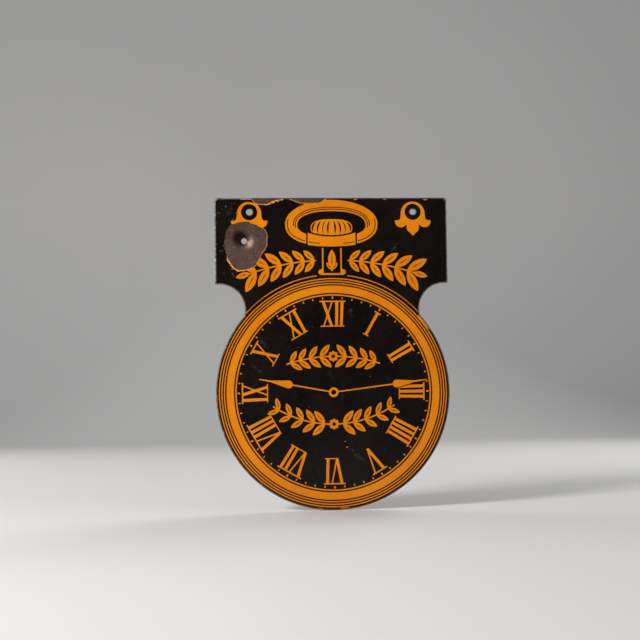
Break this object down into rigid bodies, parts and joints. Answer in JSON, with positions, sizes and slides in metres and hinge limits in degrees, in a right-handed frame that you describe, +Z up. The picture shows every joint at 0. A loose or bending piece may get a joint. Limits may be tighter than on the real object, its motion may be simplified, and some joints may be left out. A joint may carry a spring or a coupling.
{
  "type": "double-sided enamelled trade sign",
  "caption": "Flat double-sided enamelled sheet-steel trade sign in the shape of a pocket watch, with roman dial, bow, crown and two hanging holes.",
  "frame": {"origin": "midway between the axes of the two hanging holes, in the middle of the sheet's thickness", "axes": "+Z up, +Y towards the back face, +X to the right as the front is read"},
  "size_m": [0.2286, 0.0047, 0.3048],
  "materials": {
    "steel": "bare sheet steel, rusted where the enamel has gone",
    "ground_enamel": "dark ground enamel, worn to grey along the edge",
    "orange_enamel": "glossy orange enamel",
    "black_enamel": "glossy black enamel"
  },
  "bodies": {
    "root": {"steel_blank": "steel", "ground_coat": "ground_enamel", "front_orange_coat": "orange_enamel", "back_orange_coat": "orange_enamel", "front_black_field": "black_enamel", "back_black_field": "black_enamel", "front_case_lines": "black_enamel", "back_case_lines": "black_enamel", "front_chapter_line": "black_enamel", "back_chapter_line": "black_enamel", "front_dial_field": "black_enamel", "back_dial_field": "black_enamel", "front_dial_counters": "black_enamel", "back_dial_counters": "black_enamel", "front_hub_dot": "black_enamel", "back_hub_dot": "black_enamel", "front_left_hole_disc": "black_enamel", "back_left_hole_disc": "black_enamel", "front_right_hole_disc": "black_enamel", "back_right_hole_disc": "black_enamel", "front_bow_lines": "black_enamel", "back_bow_lines": "black_enamel", "front_crown_flutes": "black_enamel", "back_crown_flutes": "black_enamel", "front_leaf_veins": "black_enamel", "back_leaf_veins": "black_enamel"}
  },
  "joints": []
}
